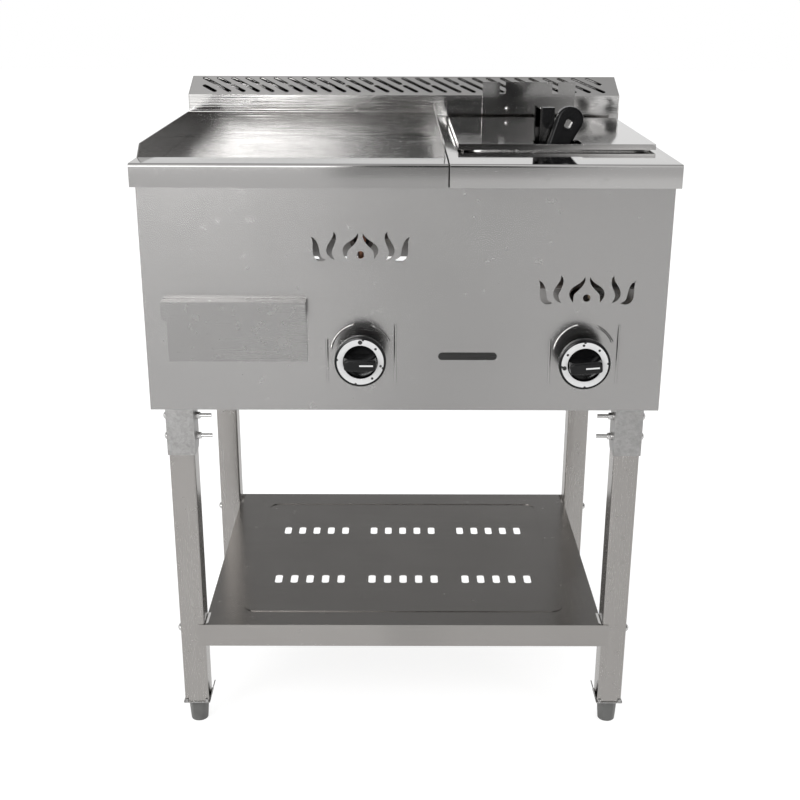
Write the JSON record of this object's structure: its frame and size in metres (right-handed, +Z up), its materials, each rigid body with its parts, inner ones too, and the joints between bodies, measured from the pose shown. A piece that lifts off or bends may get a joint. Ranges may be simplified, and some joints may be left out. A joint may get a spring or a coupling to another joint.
{
  "type": "gas griddle and fryer station",
  "caption": "Free-standing stainless gas griddle with a lidded deep fryer, grease drawer and shelf on square legs with levelling feet.",
  "frame": {"origin": "on the floor, under the middle of the bounding box", "axes": "+X to the right of a person facing the controls, +Y from the controls to the flue, +Z up"},
  "size_m": [0.75, 0.624, 0.9715],
  "materials": {
    "panel_steel": "satin brushed stainless",
    "surround_steel": "satin brushed stainless",
    "polished_steel": "mirror polished stainless",
    "plate_steel": "ground steel cooking plate",
    "tank_steel": "pressed stainless",
    "leg_steel": "satin tube",
    "galvanised": "dull galvanised sheet",
    "foot_grey": "grey moulded foot",
    "zinc": "bright zinc",
    "shelf_steel": "satin sheet",
    "basket_wire": "plated wire",
    "bracket_steel": "dark bent steel",
    "black_plastic": "black phenolic",
    "dial_white": "white print",
    "plate_dark": "blank plate",
    "brass": "machined brass",
    "copper": "bare copper tube",
    "burner_iron": "cast and heat darkened"
  },
  "bodies": {
    "frame": {"leg_front_left": "leg_steel", "leg_front_right": "leg_steel", "leg_rear_left": "leg_steel", "leg_rear_right": "leg_steel", "leg_brackets": "galvanised", "foot_plates": "galvanised", "frame_bolts": "zinc", "frame_nuts": "zinc", "shelf": "shelf_steel", "front_panel": "panel_steel", "side_panel_left": "panel_steel", "side_panel_right": "panel_steel", "rear_panel": "panel_steel", "base_frame": "galvanised", "divider_panel": "galvanised", "griddle_surround": "surround_steel", "griddle_plate": "plate_steel", "drain_spout": "tank_steel", "fryer_top": "polished_steel", "fryer_tank": "tank_steel", "tank_rack": "tank_steel", "flue_box": "polished_steel", "flue_cap_left": "polished_steel", "flue_cap_right": "polished_steel", "basket_hanger": "polished_steel", "hanger_rivets": "zinc", "griddle_burner": "burner_iron", "fryer_burner": "burner_iron", "burner_bars": "galvanised", "gas_rail": "brass", "gas_inlet": "brass", "gas_tubes": "copper", "valve_left": "brass", "valve_right": "brass", "drawer_runners": "galvanised", "nameplate": "plate_dark", "panel_screws": "zinc"},
    "drawer": {"drawer_tray": "galvanised", "drawer_front": "panel_steel"},
    "basket": {"basket": "basket_wire", "handle_bracket": "bracket_steel", "handle_block": "black_plastic", "grip_screw": "zinc"},
    "grip": {"basket_grip": "black_plastic"},
    "lid": {"fryer_lid": "polished_steel"},
    "push_left": {"push_cap_left": "zinc"},
    "push_right": {"push_cap_right": "zinc"},
    "knob_left": {"stem_left": "zinc", "knob_left": "black_plastic", "dial_left": "dial_white"},
    "knob_right": {"stem_right": "zinc", "knob_right": "black_plastic", "dial_right": "dial_white"},
    "foot_front_left": {"foot_front_left": "foot_grey"},
    "foot_front_right": {"foot_front_right": "foot_grey"},
    "foot_rear_left": {"foot_rear_left": "foot_grey"},
    "foot_rear_right": {"foot_rear_right": "foot_grey"}
  },
  "joints": [
    {"name": "drawer_slide", "type": "slide", "parent": "frame", "child": "drawer", "axis": [0, -1, 0], "range_m": [0, 0.3]},
    {"name": "basket_lift", "type": "slide", "parent": "frame", "child": "basket", "axis": [0, 0, 1], "range_m": [0, 0.25]},
    {"name": "lid_lift", "type": "slide", "parent": "basket", "child": "lid", "axis": [0, 0, 1], "range_m": [0, 0.2]},
    {"name": "grip_swing", "type": "hinge", "parent": "basket", "child": "grip", "pos_m": [0.2151, -0.106, 0.89], "axis": [0, 1, 0], "range_deg": [-28, 0]},
    {"name": "push_left", "type": "slide", "parent": "frame", "child": "push_left", "axis": [0, 1, 0], "range_m": [0, 0.005], "stiffness_N_per_m": 600, "springref_m": -0.005},
    {"name": "turn_left", "type": "hinge", "parent": "push_left", "child": "knob_left", "pos_m": [-0.0625, -0.29, 0.633], "axis": [0, -1, 0], "range_deg": [0, 180]},
    {"name": "push_right", "type": "slide", "parent": "frame", "child": "push_right", "axis": [0, 1, 0], "range_m": [0, 0.005], "stiffness_N_per_m": 600, "springref_m": -0.005},
    {"name": "turn_right", "type": "hinge", "parent": "push_right", "child": "knob_right", "pos_m": [0.25, -0.29, 0.6295], "axis": [0, -1, 0], "range_deg": [0, 180]},
    {"name": "level_front_left", "type": "hinge", "parent": "frame", "child": "foot_front_left", "pos_m": [-0.331, -0.208, 0.02], "axis": [0, 0, 1], "continuous": true},
    {"name": "level_front_right", "type": "hinge", "parent": "frame", "child": "foot_front_right", "pos_m": [0.331, -0.208, 0.02], "axis": [0, 0, 1], "continuous": true},
    {"name": "level_rear_left", "type": "hinge", "parent": "frame", "child": "foot_rear_left", "pos_m": [-0.331, 0.2555, 0.02], "axis": [0, 0, 1], "continuous": true},
    {"name": "level_rear_right", "type": "hinge", "parent": "frame", "child": "foot_rear_right", "pos_m": [0.331, 0.2555, 0.02], "axis": [0, 0, 1], "continuous": true}
  ]
}
